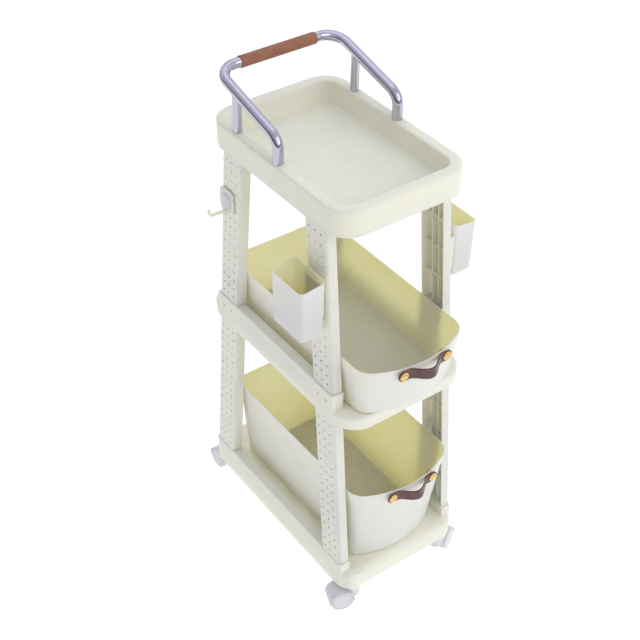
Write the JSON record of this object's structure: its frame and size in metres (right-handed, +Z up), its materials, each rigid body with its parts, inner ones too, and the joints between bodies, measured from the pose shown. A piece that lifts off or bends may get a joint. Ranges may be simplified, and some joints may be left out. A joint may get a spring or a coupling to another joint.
{
  "type": "rolling pantry cart",
  "caption": "Slim rolling cart with a top tray, two shelves with pull-out bins, leaning perforated posts, a push bar, hang-on cups and hooded casters.",
  "frame": {"origin": "on the floor under the middle of the cart", "axes": "+X across the cart to the right, +Y towards the push bar, -Y the front where the bins pull out, +Z up"},
  "size_m": [0.3676, 0.5331, 0.9644],
  "materials": {
    "cream_plastic": "moulded, satin",
    "bin_plastic": "moulded, satin",
    "cup_plastic": "moulded, satin",
    "caster_plastic": "moulded, semi-gloss",
    "chrome": "polished",
    "tan_leather": "smooth, satin",
    "brown_leather": "smooth, satin",
    "brass": "polished",
    "steel": "zinc plated"
  },
  "bodies": {
    "frame": {"base_shelf": "cream_plastic", "middle_shelf": "cream_plastic", "top_tray": "cream_plastic", "lower_post_front_left": "cream_plastic", "lower_post_front_right": "cream_plastic", "lower_post_rear_left": "cream_plastic", "lower_post_rear_right": "cream_plastic", "upper_post_front_left": "cream_plastic", "upper_post_front_right": "cream_plastic", "upper_post_rear_left": "cream_plastic", "upper_post_rear_right": "cream_plastic", "handle_tube": "chrome", "handle_strut_left": "chrome", "handle_strut_right": "chrome", "handle_grip": "tan_leather", "handle_screws": "steel", "caster_front_left_stem": "steel", "caster_front_right_stem": "steel", "caster_rear_left_stem": "steel", "caster_rear_right_stem": "steel"},
    "upper_bin_set": {"upper_bin": "bin_plastic", "upper_strap": "brown_leather", "upper_rivets": "brass", "upper_rivet_nuts": "brass"},
    "lower_bin_set": {"lower_bin": "bin_plastic", "lower_strap": "brown_leather", "lower_rivets": "brass", "lower_rivet_nuts": "brass"},
    "left_cup_set": {"left_cup": "cup_plastic"},
    "right_cup_set": {"right_cup": "cup_plastic"},
    "hook_set": {"hook_plate": "cup_plastic", "hook": "cup_plastic"},
    "caster_front_left": {"caster_front_left_hood": "caster_plastic", "caster_front_left_axle": "steel"},
    "caster_front_left_wheel_left_set": {"caster_front_left_wheel_left": "caster_plastic"},
    "caster_front_left_wheel_right_set": {"caster_front_left_wheel_right": "caster_plastic"},
    "caster_front_right": {"caster_front_right_hood": "caster_plastic", "caster_front_right_axle": "steel"},
    "caster_front_right_wheel_left_set": {"caster_front_right_wheel_left": "caster_plastic"},
    "caster_front_right_wheel_right_set": {"caster_front_right_wheel_right": "caster_plastic"},
    "caster_rear_left": {"caster_rear_left_hood": "caster_plastic", "caster_rear_left_axle": "steel"},
    "caster_rear_left_wheel_left_set": {"caster_rear_left_wheel_left": "caster_plastic"},
    "caster_rear_left_wheel_right_set": {"caster_rear_left_wheel_right": "caster_plastic"},
    "caster_rear_right": {"caster_rear_right_hood": "caster_plastic", "caster_rear_right_axle": "steel"},
    "caster_rear_right_wheel_left_set": {"caster_rear_right_wheel_left": "caster_plastic"},
    "caster_rear_right_wheel_right_set": {"caster_rear_right_wheel_right": "caster_plastic"}
  },
  "joints": [
    {"name": "upper_bin_slide", "type": "slide", "parent": "frame", "child": "upper_bin_set", "axis": [0, -1, 0], "range_m": [0, 0.3]},
    {"name": "lower_bin_slide", "type": "slide", "parent": "frame", "child": "lower_bin_set", "axis": [0, -1, 0], "range_m": [0, 0.3]},
    {"name": "left_cup_pull", "type": "slide", "parent": "frame", "child": "left_cup_set", "axis": [-1, 0, 0], "range_m": [0, 0.05]},
    {"name": "right_cup_pull", "type": "slide", "parent": "frame", "child": "right_cup_set", "axis": [1, 0, 0], "range_m": [0, 0.05]},
    {"name": "hook_pull", "type": "slide", "parent": "frame", "child": "hook_set", "axis": [-1, 0, 0], "range_m": [0, 0.04]},
    {"name": "caster_front_left_swivel", "type": "hinge", "parent": "frame", "child": "caster_front_left", "pos_m": [-0.102, -0.21, 0.04], "axis": [0, 0, 1], "continuous": true},
    {"name": "caster_front_left_wheel_left_spin", "type": "hinge", "parent": "caster_front_left", "child": "caster_front_left_wheel_left_set", "pos_m": [-0.12455, -0.20179, 0.0215], "axis": [-0.342, -0.9397, 0], "continuous": true},
    {"name": "caster_front_left_wheel_right_spin", "type": "hinge", "parent": "caster_front_left", "child": "caster_front_left_wheel_right_set", "pos_m": [-0.12455, -0.20179, 0.0215], "axis": [-0.342, -0.9397, 0], "continuous": true},
    {"name": "caster_front_right_swivel", "type": "hinge", "parent": "frame", "child": "caster_front_right", "pos_m": [0.102, -0.21, 0.04], "axis": [0, 0, 1], "continuous": true},
    {"name": "caster_front_right_wheel_left_spin", "type": "hinge", "parent": "caster_front_right", "child": "caster_front_right_wheel_left_set", "pos_m": [0.12357, -0.19948, 0.0215], "axis": [-0.4384, 0.8988, 0], "continuous": true},
    {"name": "caster_front_right_wheel_right_spin", "type": "hinge", "parent": "caster_front_right", "child": "caster_front_right_wheel_right_set", "pos_m": [0.12357, -0.19948, 0.0215], "axis": [-0.4384, 0.8988, 0], "continuous": true},
    {"name": "caster_rear_left_swivel", "type": "hinge", "parent": "frame", "child": "caster_rear_left", "pos_m": [-0.102, 0.21, 0.04], "axis": [0, 0, 1], "continuous": true},
    {"name": "caster_rear_left_wheel_left_spin", "type": "hinge", "parent": "caster_rear_left", "child": "caster_rear_left_wheel_left_set", "pos_m": [-0.10284, 0.23399, 0.0215], "axis": [-0.9994, -0.0349, 0], "continuous": true},
    {"name": "caster_rear_left_wheel_right_spin", "type": "hinge", "parent": "caster_rear_left", "child": "caster_rear_left_wheel_right_set", "pos_m": [-0.10284, 0.23399, 0.0215], "axis": [-0.9994, -0.0349, 0], "continuous": true},
    {"name": "caster_rear_right_swivel", "type": "hinge", "parent": "frame", "child": "caster_rear_right", "pos_m": [0.102, 0.21, 0.04], "axis": [0, 0, 1], "continuous": true},
    {"name": "caster_rear_right_wheel_left_spin", "type": "hinge", "parent": "caster_rear_right", "child": "caster_rear_right_wheel_left_set", "pos_m": [0.10821, 0.23318, 0.0215], "axis": [-0.9659, 0.2588, 0], "continuous": true},
    {"name": "caster_rear_right_wheel_right_spin", "type": "hinge", "parent": "caster_rear_right", "child": "caster_rear_right_wheel_right_set", "pos_m": [0.10821, 0.23318, 0.0215], "axis": [-0.9659, 0.2588, 0], "continuous": true}
  ]
}
